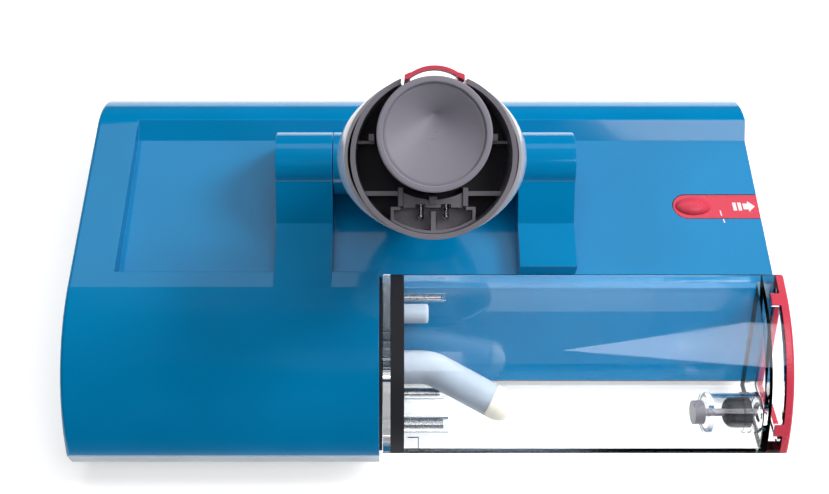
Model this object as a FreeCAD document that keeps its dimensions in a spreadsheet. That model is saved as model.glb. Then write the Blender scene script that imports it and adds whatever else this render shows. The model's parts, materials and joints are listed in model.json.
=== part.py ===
import FreeCAD, Part
import math
import os
import re

import Sketcher

# Wet roller floor head: a blue moulded head with a clear clean-water tank, a
# driven microfibre roller and a tilting neck that plugs into a cordless wand.
# Frame: X across the head, +Y the way the head travels, +Z up, floor at Z = 0.

V = FreeCAD.Vector

SIZES = {
    # cover: outer shell of the head
    "head_left": -146.0, "cover_right": 144.5, "near_y": -83.0, "wall": 2.5,
    "hood_radius": 27.0, "hood_y": 59.3, "hood_z": 25.0, "skirt_z": 12.0,
    "rim_z": 52.0, "panel_z": 47.0, "panel_left": -127.5, "panel_near": -16.0,
    "panel_far": 54.0, "rim_inner_y": 62.0,
    "barrel_radius": 72.0, "barrel_y": -23.0, "barrel_top": 54.0,
    "barrel_right": -19.0, "barrel_skirt": 22.0,
    # hinge between head and neck
    "pivot_y": 31.0, "pivot_z": 62.7, "tower_in": 38.5, "tower_out": 62.0,
    "ramp_knee_y": 4.9, "ramp_knee_z": 57.0, "ramp_toe_right": -14.3,
    "tower_radius": 13.3, "pin_radius": 5.0, "neck_tilt": 32.4, "run_gap": 0.3,
    "bush_radius": 7.0, "cup_radius": 17.0, "journal_radius": 14.0,
    # neck
    "shell_wall": 1.4, "collar_radius": 27.7, "collar_wall": 1.7,
    "collar_top": 93.7, "neck_floor": 72.0, "spigot_radius": 19.0, "spigot_y": 6.9,
    "spigot_top": 98.5, "spigot_wall": 2.2, "sleeve_room": 0.9, "button_bed": 23.5,
    "button_half": 9.8, "button_foot": 65.5,
    # roller
    "roller_radius": 22.0, "roller_y": 59.3, "roller_z": 22.0, "core_radius": 17.0,
    "roller_left": -131.0, "roller_right": 134.5, "hub_radius": 11.0,
    # drive
    "motor_y": -45.0, "motor_z": 29.0, "motor_radius": 15.5, "pulley_radius": 6.0,
    "belt_left": -141.5, "belt_width": 6.0, "bulkhead_left": -134.5,
    # base, tray and wheels
    "base_thick": 2.5, "tray_half": 118.0, "tray_near": -8.0, "tray_far": 34.3,
    "tray_floor": 5.0, "tray_top": 34.0, "tray_wall": 2.0,
    "wheel_radius": 9.0, "wheel_y": -27.0, "wheel_x": 100.0, "wheel_width": 12.0,
    # tank
    "tank_left": -17.8, "tank_right": 137.0, "cap_left": 142.5, "ring_right": 146.0,
    "tank_wall": 2.2,
    "tank_top_y": -16.0, "tank_heel_y": -48.6, "tank_heel_z": 10.8,
    "plate_left": -14.5, "plate_right": -9.0, "port_y": -47.2, "port_z": 28.0,
    "tube_radius": 6.2, "valve_y": -66.0, "valve_z": 26.0, "valve_radius": 7.8,
    "pickup_radius": 6.9,
    # latch in the panel
    "latch_left": 107.6, "latch_y": 19.4, "latch_width": 11.7,
}

doc = FreeCAD.newDocument("FloorHead")
sheet = doc.addObject("Spreadsheet::Sheet", "Sizes")
for row, (alias, value) in enumerate(SIZES.items(), start=1):
    sheet.set("A%d" % row, alias)
    sheet.set("B%d" % row, str(value))
    sheet.setAlias("B%d" % row, alias)
doc.recompute()

NODES = []


def size(alias):
    """The value of one cell of the sheet."""
    return float(sheet.get(alias))


def cells(text):
    """An expression in aliases, written out with the sheet's name."""
    return re.sub(r"[a-z][a-z_]+", lambda word: "Sizes." + word[0] if word[0] in SIZES else word[0],
                  str(text))


def bind(thing, **expressions):
    for prop, text in expressions.items():
        thing.setExpression(prop.replace("__", "."), cells(text))
    return thing


def place(thing, x=0, y=0, z=0, axis=None, angle=0):
    """Puts a primitive at a place given by expressions, turned about an axis."""
    if axis is not None:
        thing.Placement = FreeCAD.Placement(V(0, 0, 0), FreeCAD.Rotation(axis, angle))
    return bind(thing, Placement__Base__x=x, Placement__Base__y=y, Placement__Base__z=z)


def node(thing, label):
    """Names a finished piece, which is then written to its own file."""
    thing.Label = label
    NODES.append(thing)
    return thing


# ---- Part primitives and booleans ----

def block(name, x, y, z):
    """A box between two expressions along each axis."""
    box = bind(doc.addObject("Part::Box", name), Length="(%s) - (%s)" % (x[1], x[0]),
               Width="(%s) - (%s)" % (y[1], y[0]), Height="(%s) - (%s)" % (z[1], z[0]))
    return place(box, x[0], y[0], z[0])


def rod_x(name, radius, x, y, z):
    """A cylinder along X between two expressions."""
    rod = bind(doc.addObject("Part::Cylinder", name), Radius=radius, Height="(%s) - (%s)" % (x[1], x[0]))
    return place(rod, x[0], y, z, V(0, 1, 0), 90)


def rod_z(name, radius, x, y, z):
    rod = bind(doc.addObject("Part::Cylinder", name), Radius=radius, Height="(%s) - (%s)" % (z[1], z[0]))
    return place(rod, x, y, z[0])


def rod_y(name, radius, x, y, z):
    rod = bind(doc.addObject("Part::Cylinder", name), Radius=radius, Height="(%s) - (%s)" % (y[1], y[0]))
    return place(rod, x, y[1], z, V(1, 0, 0), 90)


def fuse(name, *pieces):
    joined = doc.addObject("Part::MultiFuse", name)
    joined.Shapes = list(pieces)
    return joined


def cut(name, base, *tools):
    """The base with one or more tools taken away."""
    result = doc.addObject("Part::Cut", name)
    result.Base = base
    result.Tool = tools[0] if len(tools) == 1 else fuse(name + "Tools", *tools)
    return result


def common(name, base, tool):
    result = doc.addObject("Part::Common", name)
    result.Base = base
    result.Tool = tool
    return result


def group(name, *pieces):
    """Identical pieces that share one node, kept as separate solids."""
    bundle = doc.addObject("Part::Compound", name)
    bundle.Links = list(pieces)
    return bundle


def solid(name, shape):
    piece = doc.addObject("Part::Feature", name)
    piece.Shape = shape
    return piece


def rounded(name, base, radius, chooser):
    """The base with a fillet on every edge that the chooser picks."""
    doc.recompute()
    result = doc.addObject("Part::Fillet", name)
    result.Base = base
    result.Edges = [(i + 1, radius, radius) for i, edge in enumerate(base.Shape.Edges) if chooser(edge)]
    return result


def ring_x(name, outer, inner, x, y, z):
    """A tube along X."""
    bore = rod_x(name + "Bore", inner, ("(%s) - 1" % x[0], "(%s) + 1" % x[1]), y, z)
    return cut(name, rod_x(name + "Bar", outer, x, y, z), bore)


def ring_z(name, outer, inner, x, y, z):
    bore = rod_z(name + "Bore", inner, x, y, ("(%s) - 1" % z[0], "(%s) + 1" % z[1]))
    return cut(name, rod_z(name + "Bar", outer, x, y, z), bore)


# ---- outlines and sketched bodies ----

def outline(start, *steps):
    """A closed wire: each step is the next corner, or the middle and end of an arc."""
    edges = []
    here = V(*start)
    for step in steps + (start,):
        if isinstance(step[0], tuple):
            middle, end = V(*step[0]), V(*step[1])
            edges.append(Part.Arc(here, middle, end).toShape())
        else:
            end = V(*step)
            if end.distanceToPoint(here) < 1e-6:
                continue
            edges.append(Part.makeLine(here, end))
        here = end
    return Part.Wire(edges)


def on_circle(centre, radius, degrees):
    turn = math.radians(degrees)
    return (centre[0] + radius * math.cos(turn), centre[1] + radius * math.sin(turn))


def inset(wire, distance):
    """The same outline, moved inwards, with its corners kept sharp."""
    return wire.makeOffset2D(-distance, 2)


class Moulding:
    """A PartDesign body whose sketches lie on its own origin planes."""

    def __init__(self, name):
        self.body = doc.addObject("PartDesign::Body", name)

    def sketch(self, plane, offset=0):
        flat = [item for item in self.body.Origin.OriginFeatures if item.Role == plane][0]
        sketch = self.body.newObject("Sketcher::SketchObject", "Sketch")
        sketch.AttachmentSupport = [(flat, "")]
        sketch.MapMode = "FlatFace"
        return bind(sketch, AttachmentOffset__Base__z=offset)

    def draw(self, sketch, *wires):
        """Fixed outlines, worked out from the sheet."""
        for wire in wires:
            for edge in wire.Edges:
                first, last = edge.FirstParameter, edge.LastParameter
                ends = [edge.valueAt(first), edge.valueAt((first + last) / 2), edge.valueAt(last)]
                straight = isinstance(edge.Curve, (Part.Line, Part.LineSegment))
                curve = Part.LineSegment(ends[0], ends[2]) if straight else Part.Arc(*ends)
                sketch.addConstraint(Sketcher.Constraint("Block", sketch.addGeometry(curve)))
        return sketch

    def circle(self, sketch, x, y, radius):
        """A circle whose centre and radius follow the sheet."""
        ring = sketch.addGeometry(Part.Circle(V(10, 10, 0), V(0, 0, 1), 5))
        rules = (("DistanceX", (-1, 1, ring, 3), x), ("DistanceY", (-1, 1, ring, 3), y),
                 ("Radius", (ring,), radius))
        for kind, where, text in rules:
            rule = sketch.addConstraint(Sketcher.Constraint(kind, *where, 5.0))
            sketch.setExpression("Constraints[%d]" % rule, cells(text))
        return sketch

    def pad(self, sketch, length):
        feature = bind(self._feature("PartDesign::Pad", sketch), Length=length)
        doc.recompute()
        return feature

    def pocket(self, sketch, length):
        """Cuts from the sketch along its normal, as a pad would grow."""
        before = self.body.Shape.Volume
        feature = self._feature("PartDesign::Pocket", sketch)
        feature.Reversed = True
        bind(feature, Length=length)
        doc.recompute()
        if self.body.Shape.Volume >= before - 1e-6:
            raise ValueError("pocket in %s cuts nothing" % self.body.Name)
        return feature

    def _feature(self, kind, sketch):
        feature = self.body.newObject(kind, kind.split("::")[1])
        feature.Profile = sketch
        sketch.Visibility = False
        doc.recompute()
        return feature

    def soften(self, kind, amount, chooser):
        """A fillet or chamfer on every edge that the chooser picks."""
        tip = self.body.Tip
        names = ["Edge%d" % (i + 1) for i, edge in enumerate(tip.Shape.Edges) if chooser(edge)]
        if not names:
            raise ValueError("no edges to soften in %s" % self.body.Name)
        feature = self.body.newObject("PartDesign::" + kind, kind)
        feature.Base = (tip, names)
        if kind == "Fillet":
            feature.Radius = amount
        else:
            feature.Size = amount
        doc.recompute()
        return feature


def near(value, target, slack=0.05):
    return abs(value - target) < slack


def edge_along_x(edge, y, z, slack=0.2):
    """Whether an edge runs along X through a given place."""
    box = edge.BoundBox
    return box.XLength > 1 and near(box.Center.y, y, slack) and near(box.Center.z, z, slack) \
        and box.YLength < 0.1 and box.ZLength < 0.1


# ---- cross-sections of the head, in the YZ plane ----

HOOD = (size("hood_y"), size("hood_z"))
BARREL = (size("barrel_y"), size("barrel_top") - size("barrel_radius"))


def circle_height(centre, radius, y):
    return centre[1] + math.sqrt(radius ** 2 - (y - centre[0]) ** 2)


def slant_y(z, back=0.0):
    """Y of the tank's slanting back wall at a height, moved back square to the wall."""
    top = (size("tank_top_y"), size("barrel_top"))
    heel = (size("tank_heel_y"), size("tank_heel_z"))
    slope = (top[0] - heel[0]) / (top[1] - heel[1])
    return heel[0] + slope * (z - heel[1]) + back * math.hypot(1.0, slope)


def barrel_arc(radius, y):
    """Middle and end of the barrel's arc, from its crown to a given Y."""
    end = math.degrees(math.acos((y - BARREL[0]) / radius))
    return on_circle(BARREL, radius, (90 + end) / 2), on_circle(BARREL, radius, end)


def left_section():
    """Whole outer section: roller hood, top and barrel."""
    far = HOOD[0] + size("hood_radius")
    near_y, skirt, lip = size("near_y"), size("skirt_z"), size("barrel_skirt")
    middle, end = barrel_arc(size("barrel_radius"), near_y)
    inner = near_y + size("wall")
    return outline((far, skirt), (far, HOOD[1]),
                   (on_circle(HOOD, size("hood_radius"), 45), (HOOD[0], size("rim_z"))),
                   (size("barrel_y"), size("barrel_top")), (middle, end), (near_y, lip - 1.5),
                   (inner, lip - 1.5), (inner, skirt))


def left_cavity():
    """Inside of the head where the barrel is."""
    wall = size("wall")
    ceiling, step = size("panel_z") - wall, size("panel_near") - wall
    middle, end = barrel_arc(size("barrel_radius") - wall, size("near_y") + wall)
    crown = (size("barrel_y"), size("barrel_top") - wall)
    return outline(*hood_cavity_corners(), (step, ceiling), (step, crown[1]), crown, (middle, end),
                   (size("near_y") + wall, size("skirt_z") - 1))


def hood_cavity_corners():
    wall = size("wall")
    radius = size("hood_radius") - wall
    far, low = HOOD[0] + radius, size("skirt_z") - 1
    end = 72.0
    return ((far, low), (far, HOOD[1]), (on_circle(HOOD, radius, end / 2), on_circle(HOOD, radius, end)),
            (size("panel_far") + 1, size("panel_z") - wall))


def right_section():
    """Outer section beside the tank, with the slanting back wall."""
    far, skirt = HOOD[0] + size("hood_radius"), size("skirt_z")
    gap = 1.2
    return outline((far, skirt), (far, HOOD[1]),
                   (on_circle(HOOD, size("hood_radius"), 45), (HOOD[0], size("rim_z"))),
                   (slant_y(size("rim_z"), gap), size("rim_z")), (slant_y(skirt, gap), skirt))


def right_cavity():
    wall = size("wall")
    gap = 1.2 + wall
    ceiling, low = size("panel_z") - wall, size("skirt_z") - 1
    return outline(*hood_cavity_corners(), (slant_y(ceiling, gap), ceiling), (slant_y(low, gap), low))


def recess(near_y):
    """The sunk panel in the top, with its sloping far side."""
    floor, sky = size("panel_z"), size("barrel_top") + 6
    rim = circle_height(HOOD, size("hood_radius"), size("rim_inner_y"))
    return outline((near_y, floor), (size("panel_far"), floor), (size("rim_inner_y"), rim),
                   (size("rim_inner_y"), sky), (near_y, sky))


def tower_section(toe):
    """Hinge tower: a round top, a leaning far side, and a near side that runs on as a ramp to its toe."""
    pivot = (size("pivot_y"), size("pivot_z"))
    lean = 22.5
    foot = size("panel_z") - 1.5
    low_near = on_circle(pivot, size("tower_radius"), 180 - lean)
    low_far = on_circle(pivot, size("tower_radius"), lean)
    run = (low_near[1] - foot) * math.tan(math.radians(lean))
    knee, crown = (size("ramp_knee_y"), size("ramp_knee_z")), (size("barrel_y"), size("barrel_top"))
    toe_z = crown[1] + (knee[1] - crown[1]) * (toe - crown[0]) / (knee[0] - crown[0])
    corners = [(low_far[0] + run, foot), low_far, (on_circle(pivot, size("tower_radius"), 90), low_near),
               knee,
               (toe, toe_z)]
    inner = size("panel_near") - 1.0
    under = [(toe, foot)] if toe > inner else [(toe, toe_z - 1.2), (inner, toe_z - 1.2), (inner, foot)]
    return outline(*corners, *under)


def make_top_cover():
    cover = Moulding("TopCover")
    cover.pad(cover.draw(cover.sketch("YZ_Plane", "head_left"), left_section()), "barrel_right - head_left")
    cover.pad(cover.draw(cover.sketch("YZ_Plane", "barrel_right"), right_section()),
              "cover_right - barrel_right")
    cover.pocket(cover.draw(cover.sketch("YZ_Plane", "panel_left"), recess(size("panel_near"))),
                 "barrel_right - panel_left")
    cover.pocket(cover.draw(cover.sketch("YZ_Plane", "barrel_right"), recess(size("panel_near") - 20)),
                 "cover_right - barrel_right + 1")
    cover.pocket(cover.draw(cover.sketch("YZ_Plane", "head_left + wall"), left_cavity()),
                 "barrel_right - head_left - 2 * wall")
    cover.pocket(cover.draw(cover.sketch("YZ_Plane", "barrel_right - wall - 1"), right_cavity()),
                 "cover_right - barrel_right + 1")
    for offset, toe in (("tower_in", size("ramp_toe_right")), ("-tower_out", size("barrel_y"))):
        cover.pad(cover.draw(cover.sketch("YZ_Plane", offset), tower_section(toe)), "tower_out - tower_in")
    cover.pocket(cover.circle(cover.sketch("YZ_Plane", "-tower_out + 2"), "pivot_y", "pivot_z",
                              "pin_radius + 0.05"),
                 "2 * tower_out - 4")
    cover.pocket(cover.draw(cover.sketch("XY_Plane", "panel_z - wall - 1"), latch_outline(0.3)), "wall + 3")
    port = cover.circle(cover.sketch("YZ_Plane", "barrel_right - wall - 1"), "port_y", "port_z",
                        "tube_radius + 3.05")
    cover.pocket(port, "wall + 2")
    cover.soften("Fillet", 2.0, cover_round_edge)
    return node(cover.body, "top_cover")


def cover_round_edge(edge):
    """Outer edges of the left end, and the step up to the barrel."""
    box = edge.BoundBox
    on_left_face = near(box.XMin, size("head_left")) and near(box.XMax, size("head_left"))
    outside = box.ZMin > size("barrel_skirt") - 2 and not near(box.Center.z, size("barrel_skirt") - 1.5)
    return on_left_face and outside and box.DiagonalLength > 4


def latch_outline(gap):
    """Slot for the slider: a round left end, open at the right edge of the cover."""
    half = size("latch_width") / 2 + gap
    left, y, right = size("latch_left") - gap, size("latch_y"), size("cover_right") + 3
    return outline((right, y - half), (right, y + half), (left + half, y + half),
                   ((left, y), (left + half, y - half)))


# ---- base, bulkhead and what is fixed to them ----

def make_base_plate():
    """Bottom plate with an opening for the tray, wells for the wheels, and a tank shelf edge."""
    base = Moulding("BasePlate")
    top, low = size("skirt_z") - 0.05, size("skirt_z") - size("base_thick")
    floor = base.sketch("XY_Plane", "skirt_z - base_thick")
    left, right = size("head_left") + 3, size("cover_right") - 3
    corner = size("barrel_right") - 3
    rear = slant_y(size("skirt_z"), 1.6)
    front = size("roller_y") - size("roller_radius") - 1.0
    base.pad(base.draw(floor, outline((left, size("near_y") + 3), (corner, size("near_y") + 3),
                                      (corner, rear),
                                      (right, rear), (right, front), (left, front))), "base_thick - 0.05")
    gap = 0.6
    half = size("tray_half") + gap
    opening = outline((-half, size("tray_near") - gap), (half, size("tray_near") - gap), (half, front + 1),
                      (-half, front + 1))
    belt_side = size("bulkhead_left") - 0.4
    corridor = outline((left - 1, front - 12), (belt_side, front - 12), (belt_side, front + 1),
                       (left - 1, front + 1))
    below = "skirt_z - base_thick - 1"
    base.pocket(base.draw(base.sketch("XY_Plane", below), opening, corridor), "base_thick + 2")
    for side in (-1, 1):
        base.pocket(base.draw(base.sketch("XY_Plane", below), wheel_well(side * size("wheel_x"))),
                    "base_thick + 2")
    return node(base.body, "base_plate")


def wheel_well(x):
    """Opening for a wheel, with a slot each side for its axle."""
    y = size("wheel_y")
    well, reach = size("wheel_radius") + 1.0, size("wheel_width") / 2 + 1.0
    slot, arm = 2.3, size("wheel_width") / 2 + 6.0
    right = ((x + reach, y - well), (x + reach, y - slot), (x + arm, y - slot), (x + arm, y + slot),
             (x + reach, y + slot), (x + reach, y + well))
    left = tuple((2 * x - across, 2 * y - along) for across, along in right)
    return outline(*right, *left)


def make_bulkhead():
    """Left inner wall: holds the roller's drive bearing and the motor, and keeps the belt dry."""
    wall = Moulding("Bulkhead")
    clear = inset(left_cavity(), 0.4)
    wall.pad(wall.draw(wall.sketch("YZ_Plane", "bulkhead_left"), clear), "wall")
    wall.pocket(wall.circle(wall.sketch("YZ_Plane", "bulkhead_left - 1"), "roller_y", "roller_z", "7.05"),
                "wall + 2")
    wall.pocket(wall.circle(wall.sketch("YZ_Plane", "bulkhead_left - 1"), "motor_y", "motor_z", "4"),
                "wall + 2")
    trim = block("BulkheadTrim", (-150, 150), (-90, 90), (0, "skirt_z + 0.05"))
    return node(cut("BulkheadTrimmed", wall.body, trim), "left_bulkhead")


def make_root_frame():
    """Fixed pieces under the cover."""
    strip = block("BumperStrip", ("head_left + 0.5", "barrel_right"), ("near_y", "near_y + wall - 0.05"),
                  ("skirt_z + 1", "barrel_skirt - 1.55"))
    lip = block("BumperLip", ("bulkhead_left + wall + 0.5", "barrel_right - wall - 0.5"),
                ("near_y + wall - 1", "near_y + 6"), ("skirt_z + 1", "skirt_z + 3"))
    node(fuse("Bumper", strip, lip), "rear_bumper")
    guard = block("BayGuard", ("-tray_half - 13", "tray_half + 13"), ("tray_far - 2.5", "tray_far - 0.6"),
                  ("tray_top + 1.5", "panel_z - wall - 0.05"))
    passage = block("GuardPassage", (-56.5, -51.5), ("tray_far - 4", "tray_far + 1"),
                    ("tray_top + 3", "tray_top + 8.5"))
    node(cut("SprayGuard", guard, passage), "spray_guard")
    bearing = ring_x("EndBearing", 8, 4.05, ("cover_right - wall - 5", "cover_right - wall - 0.05"),
                     "roller_y", "roller_z")
    drive = ring_x("DriveBearing", 7, 5.05, ("bulkhead_left", "bulkhead_left + wall"), "roller_y", "roller_z")
    node(group("RollerBearings", bearing, drive), "roller_bearings")
    pins = [rod_x("HingePin%d" % i, "pin_radius", x, "pivot_y", "pivot_z")
            for i, x in enumerate((("30", "tower_out - 2.5"), ("-tower_out + 2.5", "-30")))]
    node(group("HingePins", *pins), "hinge_pins")
    axles = [rod_x("WheelAxle%d" % i, 2, ("%s - wheel_width / 2 - 5" % x, "%s + wheel_width / 2 + 5" % x),
                   "wheel_y", "wheel_radius") for i, x in enumerate(("wheel_x", "-wheel_x"))]
    node(group("WheelAxles", *axles), "wheel_axles")
    node(make_axle_cradles(), "axle_cradles")
    node(make_screws(), "base_screws")


def make_axle_cradles():
    """Two clips on each axle, hanging from the base plate."""
    clips = []
    for side in (-1, 1):
        for hand in (-1, 1):
            x = "%d * wheel_x + %d * (wheel_width / 2 + 3.5)" % (side, hand)
            name = "Cradle%d" % len(clips)
            clip = block(name + "Block", (x + " - 1.5", x + " + 1.5"), ("wheel_y - 4", "wheel_y + 4"),
                         ("wheel_radius - 3.5", "skirt_z - base_thick"))
            bore = rod_x(name + "Bore", 2, (x + " - 3", x + " + 3"), "wheel_y", "wheel_radius")
            clips.append(cut(name, clip, bore))
    return group("AxleCradles", *clips)


def make_screws():
    """Pan-head screws that hold the base plate up to the cover."""
    places = ((-132, -70), (-60, -70), (-132, 10), (130, 10), (126, -20), (30, -26), (-30, -20), (-130, -30))
    screws = []
    for i, (x, y) in enumerate(places):
        head = rod_z("ScrewHead%d" % i, 3, x, y, ("skirt_z - base_thick - 1.4", "skirt_z - base_thick"))
        shank = rod_z("ScrewShank%d" % i, 1.2, x, y, ("skirt_z - base_thick - 1.4", "skirt_z - 0.3"))
        slot = block("ScrewSlot%d" % i, (x - 2, x + 2), (y - 0.4, y + 0.4),
                     ("skirt_z - base_thick - 2", "skirt_z - base_thick - 0.8"))
        cross = block("ScrewCross%d" % i, (x - 0.4, x + 0.4), (y - 2, y + 2),
                      ("skirt_z - base_thick - 2", "skirt_z - base_thick - 0.8"))
        screws.append(cut("Screw%d" % i, fuse("ScrewBlank%d" % i, head, shank), slot, cross))
    return group("Screws", *screws)


# ---- drive, pump and electrics ----

def make_drive():
    can = rod_x("MotorCan", "motor_radius", (-128, -76), "motor_y", "motor_z")
    nose = rod_x("MotorNose", 6, ("bulkhead_left + wall + 0.05", -128), "motor_y", "motor_z")
    bell = rod_x("MotorBell", "motor_radius - 4", (-76, -70), "motor_y", "motor_z")
    bore = rod_x("MotorBore", 1.8, (-140, -100), "motor_y", "motor_z")
    node(cut("DriveMotor", fuse("MotorBlank", can, nose, bell), bore), "drive_motor")
    saddle = block("SaddleBlock", (-118, -86), ("motor_y - 12", "motor_y + 7"), ("skirt_z", "motor_z - 6"))
    node(cut("MotorSaddle", saddle, rod_x("SaddleBore", "motor_radius", (-130, -70), "motor_y", "motor_z")),
         "motor_saddle")
    node(make_belt(), "drive_belt")
    shaft = rod_x("MotorShaft", 1.5, ("belt_left - 0.5", -110), "motor_y", "motor_z")
    node(shaft, "motor_shaft")
    wheel = ring_x("MotorPulley", "pulley_radius", 1.5, ("belt_left", "belt_left + belt_width"),
                   "motor_y", "motor_z")
    node(wheel, "motor_pulley")


def belt_outline(gap):
    """Belt line round both pulleys: two tangents and two arcs."""
    big, small = size("hub_radius") + gap, size("pulley_radius") + gap
    a, b = (size("roller_y"), size("roller_z")), (size("motor_y"), size("motor_z"))
    span = math.hypot(a[0] - b[0], a[1] - b[1])
    base = math.degrees(math.atan2(b[1] - a[1], b[0] - a[0]))
    lean = math.degrees(math.acos((big - small) / span))
    return outline(on_circle(a, big, base + lean),
                   (on_circle(a, big, base + 180), on_circle(a, big, base - lean)),
                   on_circle(b, small, base - lean),
                   (on_circle(b, small, base), on_circle(b, small, base + lean)))


def make_belt():
    belt = Moulding("DriveBelt")
    belt.pad(belt.draw(belt.sketch("YZ_Plane", "belt_left"), belt_outline(1.9), belt_outline(0.3)),
             "belt_width")
    return belt.body


def hose(name, radius, *points):
    """A tube whose runs are joined by tangent arcs of twice its width."""
    path = rounded_path([V(*p) for p in points], radius * 2.4)
    start = path.Edges[0]
    along = start.tangentAt(start.FirstParameter)
    ring = Part.Wire(Part.makeCircle(radius, start.valueAt(start.FirstParameter), along))
    return path.makePipeShell([ring], True, False)


def rounded_path(points, bend):
    edges = []
    here = points[0]
    for corner, after in zip(points[1:-1], points[2:]):
        into, out = (corner - here).normalize(), (after - corner).normalize()
        half = into.getAngle(out) / 2
        back = bend * math.tan(half)
        start, end = corner - into * back, corner + out * back
        middle = corner + (out - into).normalize() * (bend / math.cos(half) - bend)
        edges += [Part.makeLine(here, start), Part.Arc(start, middle, end).toShape()]
        here = end
    return Part.Wire(edges + [Part.makeLine(here, points[-1])])


def make_water_line():
    """Pump, its two hoses and the spray bar over the roller."""
    pump = block("PumpBody", (-66, -42), (-62, -36), (14, 34))
    head = rod_x("PumpHead", 9, (-42, -36), -49, 24)
    inlet = rod_x("PumpInlet", 2.2, (-36, -33), -49, 24)
    outlet = rod_z("PumpOutlet", 2.2, -54, -44, (34, 37))
    node(fuse("WaterPump", pump, head, inlet, outlet), "water_pump")
    y, z = size("port_y"), size("port_z")
    node(solid("InletHose", hose("InletHose", 2.2, (-33, -49, 24), (-29.5, -49, 24.5), (-26.6, y, z))),
         "pump_inlet_hose")
    bar_y, bar_z = size("tray_far") + 3.2, 39.5
    node(solid("OutletHose", hose("OutletHose", 2.2, (-54, -44, 37), (-54, -42, 43), (-54, -22, 40.5),
                                  (-54, bar_y - 12, bar_z + 0.2), (-54, bar_y - 2.6, bar_z))),
                                  "pump_outlet_hose")
    bar = rod_x("SprayBar", 2.8, (-122, 122), bar_y, bar_z)
    inlet = rod_x("SprayNose", 1.6, (-126, 126), bar_y, bar_z)
    holes = [block("SprayHole%d" % i, (x - 0.5, x + 0.5), (bar_y, bar_y + 5), (bar_z - 2, bar_z - 1))
             for i, x in enumerate(range(-110, 111, 20))]
    node(cut("HydrationBar", fuse("BarBlank", bar, inlet), *holes), "hydration_bar")
    socket = ring_x("TankSocket", "tube_radius + 3", "tube_radius - 1.8", (-26.5, "barrel_right"),
                    "port_y", "port_z")
    node(socket, "tank_socket")
    gasket = Moulding("TankGasket")
    edge = tank_section()
    gasket.pad(gasket.draw(gasket.sketch("YZ_Plane", "barrel_right"), inset(edge, 1.0), inset(edge, 5.0)),
               "1.2")
    node(gasket.body, "tank_gasket")


def make_electrics():
    board = block("ControlBoard", (-88, -34), (-30, -12), (13.5, 15.1))
    node(board, "control_board")
    chips = [block("Chip%d" % i, (x, x + w), (-24, -24 + d), (15.1, 15.1 + tall))
             for i, (x, w, d, tall) in enumerate(((-85, 12, 9, 2.5), (-70, 8, 8, 1.6), (-58, 11, 10, 9),
                                                  (-44, 6, 8, 5)))]
    node(group("Chips", *chips), "board_components")
    loom = hose("Loom", 1.6, (-52, -12, 16.7), (-52, -11, 30), (-40, -9, 41), (-20, -6, 41.5), (6, 10, 41.5))
    node(solid("WiringLoom", loom), "wiring_loom")


# ---- roller ----

def make_roller():
    node(ring_x("RollerCore", "core_radius", "core_radius - 2", ("roller_left + 3", "roller_right - 3"),
                "roller_y", "roller_z"), "roller_core")
    node(ring_x("RollerSleeve", "roller_radius", "core_radius", ("roller_left + 3.5", "roller_right - 3.5"),
                "roller_y", "roller_z"), "roller_sleeve")
    plug = rod_x("HubPlug", "core_radius - 2", ("roller_left + 3", "roller_left + 12"), "roller_y",
                 "roller_z")
    flange = rod_x("HubFlange", "core_radius + 1.5", ("roller_left", "roller_left + 3"), "roller_y",
                   "roller_z")
    shaft = rod_x("HubShaft", 5, ("belt_left", "roller_left"), "roller_y", "roller_z")
    wheel = rod_x("HubPulley", "hub_radius", ("belt_left", "belt_left + belt_width"), "roller_y", "roller_z")
    node(fuse("DriveHub", plug, flange, shaft, wheel), "drive_hub")
    plug = rod_x("CapPlug", "core_radius - 2", ("roller_right - 12", "roller_right - 3"), "roller_y",
                 "roller_z")
    flange = rod_x("CapFlange", "core_radius + 1.5", ("roller_right - 3", "roller_right"), "roller_y",
                   "roller_z")
    stub = rod_x("CapStub", 4, ("roller_right", "cover_right - wall - 0.4"), "roller_y", "roller_z")
    node(fuse("RollerCap", plug, flange, stub), "roller_end_cap")


def make_tray():
    """Dirty-water tray: an open trough behind the roller, with the wiper on its front wall."""
    half = "tray_half"
    trough = block("TrayBlock", ("-" + half, half), ("tray_near", "tray_far"), ("tray_floor", "tray_top"))
    hollow = block("TrayHollow", ("-tray_half + tray_wall", "tray_half - tray_wall"),
                   ("tray_near + tray_wall", "tray_far - tray_wall"),
                   ("tray_floor + tray_wall", "tray_top + 1"))
    dips = [rod_x("FingerDip%d" % i, 5, (x - 12, x + 12), "tray_near + 1", "tray_floor - 1")
            for i, x in enumerate((-70, 70))]
    ribs = [block("Baffle%d" % i, (x - 0.8, x + 0.8), ("tray_near + 1", "tray_far - 1"),
                  ("tray_floor + 1", "tray_floor + 7")) for i, x in enumerate((-80, -40, 0, 40, 80))]
    node(fuse("DirtyTray", cut("TrayTrough", trough, hollow, *dips), *ribs), "dirty_water_tray")
    wall = size("tray_far")
    blade = outline_prism("WiperBlade", ((wall, 26.5), (wall + 2.4, 25.6), (wall + 2.6, 26.6),
                                         (wall + 1.4, 32.0),
                                         (wall, 32.0)), -size("tray_half") + 2, size("tray_half") - 2)
    node(blade, "wiper_blade")


def outline_prism(name, corners, start, end):
    """A flat-sided bar along X with the given YZ corners."""
    bar = Moulding(name)
    bar.pad(bar.draw(bar.sketch("YZ_Plane", start), outline(*corners)), end - start)
    return bar.body


def make_wheels():
    for side, word in ((-1, "left"), (1, "right")):
        x = "%d * wheel_x" % side
        span = (x + " - wheel_width / 2", x + " + wheel_width / 2")
        name = "Wheel" + word.title()
        node(ring_x(name, "wheel_radius", 2.08, span, "wheel_y", "wheel_radius"), "wheel_" + word)


# ---- tank ----

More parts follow.
